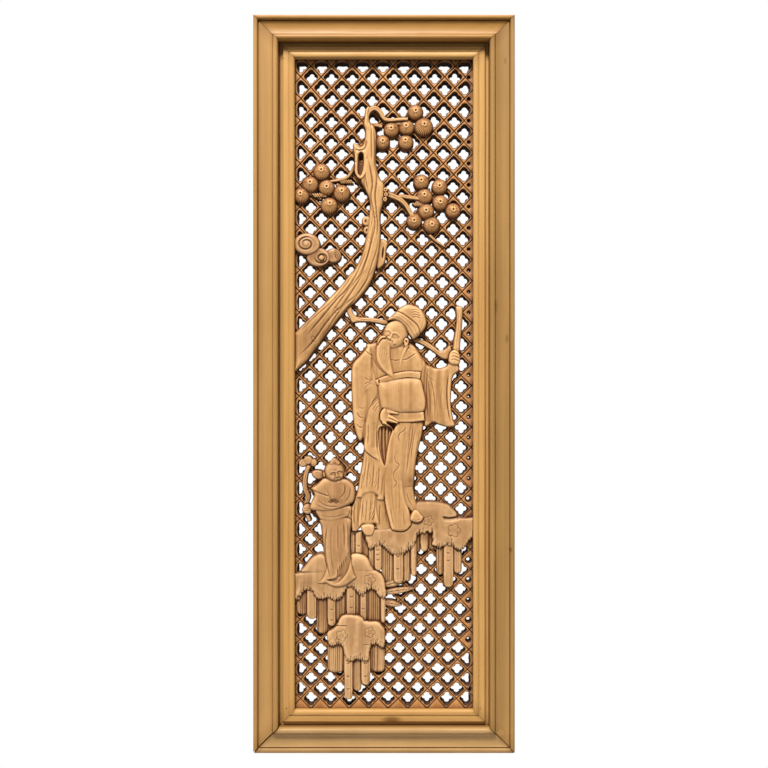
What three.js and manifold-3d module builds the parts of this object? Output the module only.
// Carved openwork wall panel: a lattice board with a pine, a cloud, an official, a boy and rocks,
// held in a narrow inner frame inside a mitred outer frame. Millimetres, +Z up, front towards -Y.
import * as THREE from 'three';
import { mergeVertices } from 'three/addons/utils/BufferGeometryUtils.js';
import Module from 'manifold-3d';

const wasm = await Module();
wasm.setup();

// Driving sizes
const PANEL_HEIGHT = 920;
const PANEL_WIDTH = 326;
const OUTER_WIDTH = 31;
const OUTER_DEPTH = 34;
const INNER_WIDTH = 20;
const INNER_DEPTH = 25;
const FIT = 0.3;

// Outer moulding: a bead towards the opening, a shallow cove and a round outer strip
const OUTER_BEAD = 7;
const OUTER_STRIP = 5.4;
const STRIP_DROP = 0.6;
const OUTER_GROOVE = 1.4;
const COVE_DROP = 3.6;
const COVE_SAG = 1.6;
const MITRE_GAP = 0.4;
const SHRUNK_MITRE_GAP = 1.6;

// Inner moulding: a bead at the opening, a flat and a cove down to the outer frame
const INNER_BEAD = 7.4;
const INNER_FLAT = 7;
const INNER_COVE_DROP = 5.5;
const QUIRK = 1;

// Carved board, held in a groove of the inner frame
const BOARD_THICKNESS = 12;
const BOARD_BACK = 4;
const BOARD_TENON = 7.5;
const RELIEF_HEIGHT = 11;
const RELIEF_ROOT = 2;
const CUT_MARGIN = 1;

// Lattice, on the drawing sheet: staggered rows of holes, a little wider apart towards the top
const LATTICE_ROWS = 62;
const LATTICE_COLUMNS = 10;
const FIRST_ROW = 62.7;
const ROW_PITCH = 12.37;
const ROW_GROWTH = 0.0118;
const FIRST_HOLE = -105;
const COLUMN_PITCH = 25.2;
const COLUMN_GROWTH = 0.0009;
const FOOT_PINCH = 0.7;
const PINCH_REACH = 130;
const SIDE_BULGE = 2;
const BULGE_MIDDLE = 460;
const BULGE_REACH = 400;
const HOLE_REACH = 8;
const SIDE_MARGIN = 3.8;
const END_MARGIN = 4;
const LEFT_CLEAR = 3;
const RIGHT_CLEAR = 6;

// Derived sizes
const OPENING_WIDTH = PANEL_WIDTH - 2 * (OUTER_WIDTH + INNER_WIDTH);
const OPENING_HEIGHT = PANEL_HEIGHT - 2 * (OUTER_WIDTH + INNER_WIDTH);
const BOARD_FRONT = BOARD_BACK + BOARD_THICKNESS;
const INNER_LIP_BACK = BOARD_FRONT + FIT;

// The carving is drawn on a sheet of this size, which is laid over the opening
const SHEET_WIDTH = 224;
const SHEET_HEIGHT = 818;
const SHEET_FOOT = 51;

const WOOD = { roughness: 0.62, metalness: 0 };
const OUTER_COLOUR = 0xc49a63;
const INNER_COLOUR = 0xdcab6d;
const CARVED_COLOUR = 0xcf9a63;

function finish(colour) {
  return new THREE.MeshStandardMaterial({ color: colour, ...WOOD });
}

// A point of the drawing sheet, in millimetres of the real board about its centre
function place([u, v]) {
  const across = u * (OPENING_WIDTH / SHEET_WIDTH);
  const up = (v - SHEET_FOOT - SHEET_HEIGHT / 2) * (OPENING_HEIGHT / SHEET_HEIGHT);
  return new THREE.Vector2(across, up);
}

// Height above the wall of a share of the relief: 0 is the lattice's front, 1 the highest carving
function level(share) {
  return BOARD_FRONT + share * RELIEF_HEIGHT;
}

function toSolid(geometry) {
  geometry.deleteAttribute('normal');
  geometry.deleteAttribute('uv');
  const merged = mergeVertices(geometry, 1e-4);
  return new wasm.Manifold(new wasm.Mesh({
    numProp: 3,
    vertProperties: new Float32Array(merged.attributes.position.array),
    triVerts: new Uint32Array(merged.index.array),
  }));
}

function toGeometry(solid) {
  const mesh = solid.getMesh();
  const geometry = new THREE.BufferGeometry();
  geometry.setAttribute('position', new THREE.BufferAttribute(mesh.vertProperties, 3));
  geometry.setIndex(new THREE.BufferAttribute(mesh.triVerts, 1));
  geometry.computeVertexNormals();
  return geometry;
}

function join(solids) {
  return solids.reduce((sum, solid) => sum.add(solid));
}

function block(width, height, low, high) {
  const geometry = new THREE.BoxGeometry(width, height, high - low);
  geometry.translate(0, 0, (low + high) / 2);
  return toSolid(geometry);
}

// Outlines on the drawing sheet
function oval(u, v, reachU, reachV, sides, tilt = 0) {
  return Array.from({ length: sides }, (_, i) => {
    const turn = (i / sides) * 2 * Math.PI;
    const a = reachU * Math.cos(turn);
    const b = reachV * Math.sin(turn);
    return [u + a * Math.cos(tilt) - b * Math.sin(tilt), v + a * Math.sin(tilt) + b * Math.cos(tilt)];
  });
}

function between(left, right) {
  return [...left, ...right.toReversed()];
}

// A band of changing width along a centre line
function band(path, startWidth, endWidth = startWidth) {
  const points = path.map(([u, v]) => new THREE.Vector2(u, v));
  const side = (sign) => points.map((point, i) => {
    const before = points[Math.max(i - 1, 0)];
    const after = points[Math.min(i + 1, points.length - 1)];
    const along = after.clone().sub(before).normalize();
    const half = (sign * THREE.MathUtils.lerp(startWidth, endWidth, i / (points.length - 1))) / 2;
    return [point.x - along.y * half, point.y + along.x * half];
  });
  return between(side(1), side(-1));
}

// A pointed leaf from its foot to its tip
function leaf([u0, v0], [u1, v1], width) {
  const path = [0, 0.3, 0.7, 1].map((t) => [u0 + (u1 - u0) * t, v0 + (v1 - v0) * t]);
  const rise = width / Math.hypot(u1 - u0, v1 - v0) / 2;
  const [foot, low, high, tip] = path;
  const off = ([u, v], sign) => [u - sign * rise * (v1 - v0), v + sign * rise * (u1 - u0)];
  return [foot, off(low, -1), off(high, -0.8), tip, off(high, 0.8), off(low, 1)];
}

// A raised form of the relief: its outline, the share of the relief it rises to, and its rounded edge
function carved(outline, share, round = 0) {
  const shape = new THREE.Shape(outline.map(place));
  const foot = BOARD_FRONT - RELIEF_ROOT;
  const geometry = new THREE.ExtrudeGeometry(shape, {
    depth: level(share) - round - foot,
    bevelEnabled: round > 0,
    bevelThickness: round,
    bevelSize: round,
    bevelOffset: -round,
    bevelSegments: 1,
  });
  geometry.translate(0, 0, foot);
  return { outline, solid: toSolid(geometry) };
}

// A turned form of the relief, such as a needle roundel: domed, with a rim
function domed([u, v], radius, rimShare, topShare, sides = 6) {
  const foot = BOARD_FRONT - RELIEF_ROOT;
  const profile = [
    new THREE.Vector2(0, foot),
    new THREE.Vector2(radius, foot),
    new THREE.Vector2(radius, level(rimShare)),
    new THREE.Vector2(radius * 0.6, level(topShare)),
    new THREE.Vector2(0, level(topShare)),
  ];
  const geometry = new THREE.LatheGeometry(profile, sides);
  geometry.rotateX(Math.PI / 2);
  const centre = place([u, v]);
  geometry.translate(centre.x, centre.y, 0);
  return { outline: oval(u, v, radius, radius, sides), solid: toSolid(geometry) };
}

// A round head: a flattened ball resting in the board
function ball([u, v], reachU, reachV, topShare, tilt = 0) {
  const geometry = new THREE.SphereGeometry(1, 10, 6);
  const middle = level(0.25);
  geometry.rotateX(Math.PI / 2);
  geometry.scale(reachU, reachV, level(topShare) - middle);
  geometry.rotateZ(tilt);
  const centre = place([u, v]);
  geometry.translate(centre.x, centre.y, middle);
  return { outline: oval(u, v, reachU, reachV, 10, tilt), solid: toSolid(geometry) };
}

// A V-shaped cut along a line of the drawing, as deep as half its width
function crease(path, share, width = 1.8, steps = path.length - 1) {
  const surface = level(share);
  const rise = 1.5;
  const depth = width / 2;
  const reach = width / 2 + rise;
  const section = new THREE.Shape([
    new THREE.Vector2(depth, 0),
    new THREE.Vector2(-rise, reach),
    new THREE.Vector2(-rise, -reach),
  ]);
  const line = new THREE.CatmullRomCurve3(path.map((point) => {
    const { x, y } = place(point);
    return new THREE.Vector3(x, y, surface);
  }));
  return toSolid(new THREE.ExtrudeGeometry(section, { steps, extrudePath: line }));
}

// A hollow cut into the relief down to a share of its height
function pit(outline, share) {
  const shape = new THREE.Shape(outline.map(place));
  const geometry = new THREE.ExtrudeGeometry(shape, { depth: RELIEF_HEIGHT * 2, bevelEnabled: false });
  geometry.translate(0, 0, level(share));
  return toSolid(geometry);
}

// Pine: a trunk rising from the left border, forked at the top, with roundels of needles on twigs
const ROUNDEL_RADIUS = 10.2;
const ROUNDELS = [
  [39.5, 801], [9.5, 780], [28.5, 782], [50, 784], [-2, 764], [27.5, 764],
  [-78.5, 727], [-93, 711], [-72, 707], [-53, 700], [-104, 697], [-69, 684],
  [47, 714], [70, 708], [51, 696], [71, 688], [87, 678], [53, 677], [38, 665], [60, 660],
];

function pine() {
  const trunkLeft = [
    [-112, 524], [-75, 562], [-45, 596], [-30, 618], [-25, 640], [-20, 680],
    [-27, 709], [-37, 732], [-38, 756], [-28, 761], [-25, 795], [-20, 809],
  ];
  const trunkRight = [
    [-112, 474], [-97, 488], [-55, 543], [-33, 565], [-15, 590], [-8, 620],
    [-6, 660], [-1, 697], [-3, 713], [-11, 726], [-13, 755], [-15, 800],
  ];
  const raised = [
    carved(between(trunkLeft, trunkRight), 0.64, 3.2),
    carved(band([[-22, 804], [-12, 811], [2, 795], [28, 791]], 7, 4), 0.4),
    carved(band([[-17, 785], [-3, 785]], 6, 5), 0.36),
    carved(band([[-36, 735], [-45, 721], [-68, 714]], 5, 4), 0.36),
    carved(band([[-4, 702], [16, 697], [36, 674]], 10, 6), 0.45),
    carved(band([[18, 697], [46, 693]], 6, 5), 0.4),
    carved(band([[58, 648], [77, 633]], 4, 3), 0.18),
    carved([[-9, 606], [-1, 612], [2, 636], [-8, 640]], 0.36),
    domed([-27, 667], 5, 0.2, 0.32),
    domed([-27, 657], 4, 0.15, 0.25),
    ...ROUNDELS.map((centre) => domed(centre, ROUNDEL_RADIUS, 0.28, 0.66)),
  ];
  const cut = [
    pit(oval(-29, 737, 3.6, 15, 6, 0.08), -0.2),
    crease([[-110, 508], [-45, 580], [-22, 620]], 0.64, 3),
    crease([[-108, 490], [-32, 575], [-14, 640]], 0.64, 3),
    crease([[-14, 690], [-22, 725], [-18, 770]], 0.64, 2.6),
  ];
  return { raised, cut };
}

// Cloud: three scrolls against the left border
function cloud() {
  const raised = [
    carved(oval(-97, 636, 16, 14, 12), 0.5, 2.4),
    carved(oval(-83, 619.5, 15, 12.5, 10), 0.36, 2.4),
    carved(oval(-63.5, 621.5, 10, 9.5, 9), 0.27),
    domed([-98, 636], 7, 0.55, 0.66, 7),
    domed([-78, 618.5], 5, 0.45, 0.56),
  ];
  const cut = [
    crease([[-68, 628], [-61, 627], [-58, 616]], 0.27, 2.4),
  ];
  return { raised, cut };
}

// Official: long robe and sleeves, belts and apron, hat with two ribbons, beard, a staff in the hand
function official() {
  const robe = [
    [-8, 513], [-24, 505], [-40, 484], [-41, 455], [-39, 415], [-31, 388], [-26, 376],
    [-30, 345], [-35, 317], [-9, 319], [1, 314], [24, 326], [36, 330], [40, 360],
    [48, 395], [52, 430], [51, 450], [53, 485], [43, 502], [35, 510],
  ];
  const staffArm = [
    [44, 495], [62, 481.5], [75, 481], [84, 487], [95, 484], [92, 474], [86, 470], [84.5, 440],
    [89, 406], [70, 408], [62, 411], [50, 408], [50, 445],
  ];
  const restingArm = [
    [-20, 508], [-40, 484], [-41, 455], [-39, 415], [-35, 394], [-30, 388], [-25, 396],
    [-18, 425], [-7, 443], [-8, 464], [-14, 495],
  ];
  const belly = [
    [-6, 461], [15, 466], [32, 468], [45, 466], [50, 452], [52, 438], [50, 424], [12, 423], [-3, 431],
  ];
  const chest = [
    [-14, 496], [-8, 512], [22, 507], [42, 500], [48, 490], [45, 472], [15, 472], [-9, 464],
  ];
  const apron = between(
    [[15, 412], [8, 385], [1, 350], [1, 315], [9, 278]],
    [[34, 412], [29, 385], [25, 350], [27, 312], [34, 283], [21, 275]],
  );
  const underskirt = [
    [-33, 320], [-42, 300], [-40, 275], [-29, 280], [-10, 282], [3, 276], [12, 279], [4, 316],
  ];
  const hat = [
    [4, 538], [14, 549], [31, 560], [43, 557], [52, 546], [53, 533], [45, 522], [35, 518], [24, 534],
  ];
  const raised = [
    carved(robe, 0.5, 2.4),
    carved(staffArm, 0.42, 2.2),
    carved(restingArm, 0.68, 2.2),
    carved([[-22, 430], [-7, 442], [-5, 415], [-8, 380], [-4, 363], [-26, 378]], 0.6),
    carved(chest, 0.66, 2),
    carved(belly, 0.95, 3),
    carved(band([[-9, 461], [15, 469], [44, 470]], 7), 0.84),
    carved(band([[9, 417], [30, 417], [50, 419]], 12), 0.8),
    carved(apron, 0.64, 2),
    carved(underskirt, 0.4),
    carved([[-28, 319], [-20, 323], [-9, 319], [-9, 298], [-13, 284], [-26, 283], [-30, 300]], 0.62, 2.4),
    carved([[-30, 281], [-22, 269], [-14, 271], [-10, 282]], 0.62),
    carved([[22, 328], [28, 306], [44, 304], [35, 329]], 0.36),
    carved(oval(41, 294, 9, 8, 8), 0.6),
    ball([14, 523], 16, 18, 0.86, 0.5),
    carved(hat, 0.92, 3),
    carved([[-9, 513], [-12, 500], [-9, 486], [12, 466], [10, 488], [9, 513]], 0.9, 2.2),
    carved([[9, 516], [22, 514], [19, 499], [10, 499]], 0.78),
    carved(band([[-42, 556], [-36, 544], [-18, 541], [4, 536]], 9, 5), 0.3),
    carved(band([[36, 520], [57, 510], [68, 502], [83, 500]], 7, 14), 0.3),
    carved([[89, 557], [99, 556], [98, 530], [95, 500], [93, 476], [87, 477], [87, 510]], 0.46),
    carved(oval(89, 493.5, 7, 8.5, 8), 0.64),
    carved([[-5, 420], [-3, 429], [3, 431], [18, 422], [15, 414], [4, 410]], 1),
  ];
  const folds = [
    [[-38, 470], [-33, 420], [-29, 400]],
    [[-28, 490], [-21, 432]],
  ];
  const skirtFolds = [
    [[-22, 374], [-28, 322]],
    [[-13, 362], [-17, 326]],
    [[-4, 360], [-6, 318]],
  ];
  const hangingFolds = [60, 72].map((u) => [[u - 2, 476], [u + 4, 411]]);
  const panelFolds = [[[39, 410], [31, 334]]];
  const hemFolds = [-36, -4].map((u) => [[u + 2, 312], [u - 1, 279]]);
  const cut = [
    ...folds.map((path) => crease(path, 0.68, 2.4)),
    ...[...skirtFolds, ...panelFolds].map((path) => crease(path, 0.5, 2.2)),
    ...hangingFolds.map((path) => crease(path, 0.42, 2.2)),
    ...hemFolds.map((path) => crease(path, 0.4, 2)),
    crease([[-24, 505], [-19, 498], [-9, 494]], 0.66, 2),
    crease([[42, 499], [33, 494], [22, 490]], 0.66, 2),
    crease([[14, 550], [27, 544], [36, 534], [43, 526]], 0.92, 2),
    crease([[24, 408], [18, 386], [12, 340], [12, 300]], 0.64, 2),
  ];
  return { raised, cut };
}

// Boy: round head with a hair bun, cape, sash and long skirt, carrying a cloud-headed sceptre
function attendant() {
  const shaft = [[-95, 358], [-100, 340], [-96, 319], [-99.5, 306], [-94, 288]];
  const cape = [
    [-91, 328], [-80, 338], [-73, 342], [-50, 341], [-38, 333], [-36, 318], [-44, 307],
    [-56, 302], [-75, 299], [-92, 303], [-88, 317],
  ];
  const sash = [[-85, 301], [-82, 293], [-69, 287], [-54, 290], [-43, 293], [-42, 307], [-64, 301]];
  const skirt = [
    [-79, 291], [-76, 250], [-74, 226], [-80, 210], [-60, 204], [-48, 207], [-34, 217],
    [-40, 238], [-43, 293],
  ];
  const raised = [
    carved(band(shaft, 6.5), 0.34),
    carved([[-107, 361], [-102, 366], [-96, 369], [-89, 366], [-85, 360], [-95, 356]], 0.42),
    domed([-97, 303], 6.5, 0.35, 0.55),
    domed([-84, 346], 7, 0.2, 0.45),
    carved(skirt, 0.5, 2.4),
    carved(sash, 0.55),
    carved(cape, 0.64, 2.4),
    ball([-62, 348], 13.5, 14.5, 0.9),
    domed([-62, 364], 4, 0.2, 0.5),
  ];
  const cut = [
    crease([[-91, 327], [-80, 322], [-66, 319]], 0.64, 2.4),
    crease([[-72, 285], [-74, 250], [-68, 215]], 0.5, 2.4),
    ...[0, 1].map((i) => crease([[-45 - 5 * i, 245], [-48 - 5 * i, 225], [-58 - 5 * i, 211]], 0.5, 2.4)),
  ];
  return { raised, cut };
}

// Rocks: smooth caps over hanging, fluted columns
function columns(top, edges, feet, share) {
  return feet.map((foot, i) => {
    const [left, right] = [edges[i], edges[i + 1]];
    const outline = [[left, top], [left, foot + 2], [right, foot - 1], [right, top]];
    return carved(outline, share - 0.09 * (i % 2));
  });
}

function rocks() {
  const upperCap = [
    [-22, 272], [-19, 253], [-3, 256], [4, 252], [10, 246], [25, 246], [38, 256], [43, 270],
    [60, 272], [63, 261], [68, 255], [86, 256], [97, 250], [112, 268], [112, 292], [92, 294],
    [80, 309], [68, 312], [40, 311], [28, 284], [0, 279],
  ];
  const middleCap = [
    [-112, 222], [-112, 190], [-104, 199], [-89, 199], [-82, 190], [-60, 189], [-51, 196],
    [-44, 203], [-28, 195], [-12, 200], [2, 194], [1, 210], [-6, 223], [-40, 226], [-80, 225],
  ];
  const lowerCap = [
    [-70, 144], [-70, 131], [-53, 130], [-47, 112], [-34, 114], [-20, 112], [-17, 130], [1, 129],
    [1, 150], [-8, 161], [-25, 162], [-30, 169], [-52, 168], [-60, 156],
  ];
  const raised = [
    ...columns(264, [-19, -11, -4, 2, 10, 26, 34, 41], [228, 226, 214, 209, 211, 212, 219], 0.4),
    ...columns(262, [66, 71, 84, 90, 98], [222, 205, 211, 236], 0.4),
    ...columns(273, [42, 52, 66], [250, 253], 0.2),
    ...columns(205, [-105, -97, -88, -76, -60, -48], [178, 180, 150, 158, 160], 0.36),
    ...columns(205, [-48, -42, -30, -22, -11, 2], [166, 168, 162, 160, 160], 0.36),
    ...columns(140, [-71, -62, -51, -39, -30, -19], [101, 87, 62, 80, 82], 0.38),
    ...columns(140, [-19, -11, -4, 1], [92, 95, 108], 0.34),
    ...columns(274, [-43, -35, -27, -19], [243, 243, 238], 0.15),
    carved(upperCap, 0.55, 2),
    carved([[-98, 234], [-90, 243], [-77, 246], [-70, 222], [-104, 222]], 0.42),
    carved([[-43, 244], [-30, 246], [-20, 240], [-12, 222], [-42, 222]], 0.42),
    carved(middleCap, 0.55, 2),
    carved(lowerCap, 0.58, 2),
    carved(leaf([-2, 206], [29, 213], 9), 0.2),
    carved(leaf([-2, 197], [40, 203], 9), 0.24),
    carved(leaf([-2, 185], [23, 180], 9), 0.2),
  ];
  const cut = [
    crease([[72, 294], [84, 291.5], [96, 294]], 0.55, 3),
  ];
  return { raised, cut };
}

function inside(outline, { x, y }) {
  const points = outline.map(place);
  return points.reduce((within, a, i) => {
    const b = points[(i + 1) % points.length];
    const crosses = (a.y > y) !== (b.y > y) && x < a.x + ((y - a.y) / (b.y - a.y)) * (b.x - a.x);
    return crosses ? !within : within;
  }, false);
}

// Distance between the holes of a row at a height of the drawing sheet
function columnPitch(v) {
  const pinch = Math.max(0, 1 - (v - FIRST_ROW) / PINCH_REACH);
  return COLUMN_PITCH + COLUMN_GROWTH * v - FOOT_PINCH * pinch;
}

// Centres of the lattice's holes, each row half a pitch beside the next
function holeCentres() {
  const rows = Array.from({ length: LATTICE_ROWS }, (_, row) => {
    const v = FIRST_ROW + ROW_PITCH * row + ROW_GROWTH * row * row;
    const bulge = SIDE_BULGE * Math.max(0, 1 - ((v - BULGE_MIDDLE) / BULGE_REACH) ** 2);
    const shift = row % 2 ? 0 : 0.5;
    return Array.from({ length: LATTICE_COLUMNS }, (__, column) => (
      [FIRST_HOLE - bulge + (column + shift) * columnPitch(v), v]
    ));
  });
  return rows.flat();
}

// The four-lobed holes, drawn by their diamonds, where the relief leaves them open
function latticeHoles(outlines) {
  const wide = OPENING_WIDTH - 2 * SIDE_MARGIN;
  const high = OPENING_HEIGHT - 2 * END_MARGIN;
  const shapes = holeCentres().flatMap(([u, v]) => {
    const centre = place([u, v]);
    const within = centre.x > LEFT_CLEAR - OPENING_WIDTH / 2 && centre.x < OPENING_WIDTH / 2 - RIGHT_CLEAR;
    const corners = oval(u, v, HOLE_REACH, HOLE_REACH, 4).map(place);
    const probes = [centre, ...corners.map((corner) => corner.clone().lerp(centre, 0.4))];
    const open = probes.every((probe) => !outlines.some((outline) => inside(outline, probe)));
    return within && open ? [new THREE.Shape(corners)] : [];
  });
  const depth = BOARD_FRONT + 2 * CUT_MARGIN;
  const geometry = new THREE.ExtrudeGeometry(shapes, { depth, bevelEnabled: false });
  return toSolid(geometry).intersect(block(wide, high, BOARD_BACK - CUT_MARGIN, BOARD_FRONT + CUT_MARGIN));
}

function carvedBoard() {
  const plate = block(
    OPENING_WIDTH + 2 * BOARD_TENON,
    OPENING_HEIGHT + 2 * BOARD_TENON,
    BOARD_BACK,
    BOARD_FRONT,
  );
  const themes = [pine(), cloud(), rocks(), official(), attendant()];
  const forms = themes.flatMap((theme) => theme.raised);
  const holes = latticeHoles(forms.map((form) => form.outline));
  const opening = block(
    OPENING_WIDTH - 2 * FIT,
    OPENING_HEIGHT - 2 * FIT,
    BOARD_BACK,
    BOARD_FRONT + RELIEF_HEIGHT * 2,
  );
  const raised = join(forms.map((form) => form.solid));
  const cut = join(themes.flatMap((theme) => theme.cut));
  const relief = raised.subtract(cut).intersect(opening);
  return toGeometry(plate.subtract(holes).add(relief));
}

// A round bead of a moulding from one x to another, ending at a foot height
function bead(section, start, end, crest, foot) {
  section.quadraticCurveTo(start, crest, (start + end) / 2, crest);
  section.quadraticCurveTo(end, crest, end, foot);
}

// Section of an outer member: x runs from the outer edge to the bead, y is the height above the wall
function outerSection() {
  const field = OUTER_DEPTH - COVE_DROP;
  const beadStart = OUTER_WIDTH - OUTER_BEAD;
  const coveStart = OUTER_STRIP + OUTER_GROOVE;
  const section = new THREE.Shape();
  section.moveTo(0, 0);
  section.lineTo(0, OUTER_DEPTH - OUTER_STRIP / 2);
  bead(section, 0, OUTER_STRIP, OUTER_DEPTH - STRIP_DROP, field);
  section.lineTo(OUTER_STRIP + OUTER_GROOVE / 2, field - OUTER_GROOVE);
  section.lineTo(coveStart, field);
  section.quadraticCurveTo((coveStart + beadStart) / 2, field - 2 * COVE_SAG, beadStart - QUIRK, field);
  section.lineTo(beadStart, field - QUIRK);
  bead(section, beadStart, OUTER_WIDTH, OUTER_DEPTH, field - QUIRK);
  section.lineTo(OUTER_WIDTH, 0);
  return section;
}

// Section of an inner member: x runs from the outer frame to the opening, with the board's groove
function innerSection() {
  const width = INNER_WIDTH - FIT;
  const beadStart = width - INNER_BEAD;
  const flatStart = beadStart - INNER_FLAT;
  const grooveFloor = width - BOARD_TENON - FIT;
  const section = new THREE.Shape();
  section.moveTo(0, 0);
  section.lineTo(0, INNER_DEPTH - INNER_COVE_DROP);
  section.quadraticCurveTo(flatStart, INNER_DEPTH - INNER_COVE_DROP, flatStart, INNER_DEPTH - QUIRK);
  section.lineTo(beadStart - QUIRK / 2, INNER_DEPTH - QUIRK);
  section.lineTo(beadStart, INNER_DEPTH - 2 * QUIRK);
  bead(section, beadStart, width, INNER_DEPTH, INNER_DEPTH - INNER_BEAD / 2);
  section.lineTo(width, INNER_LIP_BACK);
  section.lineTo(grooveFloor, INNER_LIP_BACK);
  section.lineTo(grooveFloor, BOARD_BACK - FIT);
  section.lineTo(width, BOARD_BACK - FIT);
  section.lineTo(width, 0);
  return section;
}

// A member on the left of a frame of this outer size, with a mitre set back at each end
function mitred(section, reach, length, headGap, footGap) {
  const sweep = { depth: length, bevelEnabled: false, curveSegments: 3 };
  const geometry = new THREE.ExtrudeGeometry(section, sweep);
  const position = geometry.attributes.position;
  for (let i = 0; i < position.count; i += 1) {
    const inward = position.getX(i);
    const atHead = position.getZ(i) < length / 2;
    const gap = (atHead ? headGap : footGap) / Math.SQRT2;
    position.setZ(i, atHead ? inward + gap : length - inward - gap);
  }
  geometry.translate(0, 0, -length / 2);
  geometry.rotateX(Math.PI / 2);
  geometry.translate(-reach, 0, 0);
  geometry.computeVertexNormals();
  return geometry;
}

function frame(prefix, section, width, height, colour, gaps) {
  const sides = [
    { name: 'stile_left', turn: 0, head: gaps.topLeft, foot: gaps.bottomLeft },
    { name: 'rail_top', turn: -Math.PI / 2, head: gaps.topRight, foot: gaps.topLeft },
    { name: 'stile_right', turn: Math.PI, head: gaps.bottomRight, foot: gaps.topRight },
    { name: 'rail_bottom', turn: Math.PI / 2, head: gaps.bottomLeft, foot: gaps.bottomRight },
  ];
  const members = new THREE.Group();
  sides.forEach(({ name, turn, head, foot }) => {
    const upright = name.startsWith('stile');
    const reach = (upright ? width : height) / 2;
    const length = upright ? height : width;
    const member = new THREE.Mesh(mitred(section, reach, length, head, foot), finish(colour));
    member.name = `${prefix}_${name}`;
    member.rotation.z = turn;
    members.add(member);
  });
  return members;
}

// Assembly about the panel's centre, lifted so that the origin is the middle of the top rail's back
const outerGaps = {
  topLeft: MITRE_GAP,
  topRight: MITRE_GAP,
  bottomRight: (MITRE_GAP + SHRUNK_MITRE_GAP) / 2,
  bottomLeft: SHRUNK_MITRE_GAP,
};
const innerGaps = { topLeft: FIT, topRight: FIT, bottomRight: FIT, bottomLeft: FIT };
const innerOuterWidth = PANEL_WIDTH - 2 * (OUTER_WIDTH + FIT);
const innerOuterHeight = PANEL_HEIGHT - 2 * (OUTER_WIDTH + FIT);

const board = new THREE.Mesh(carvedBoard(), finish(CARVED_COLOUR));
board.name = 'carved_board';

const face = new THREE.Group();
face.rotation.x = Math.PI / 2;
face.position.z = (OUTER_WIDTH - PANEL_HEIGHT) / 2;
face.add(frame('outer', outerSection(), PANEL_WIDTH, PANEL_HEIGHT, OUTER_COLOUR, outerGaps));
face.add(frame('inner', innerSection(), innerOuterWidth, innerOuterHeight, INNER_COLOUR, innerGaps));
face.add(board);

const group = new THREE.Group();
group.add(face);

export default group;
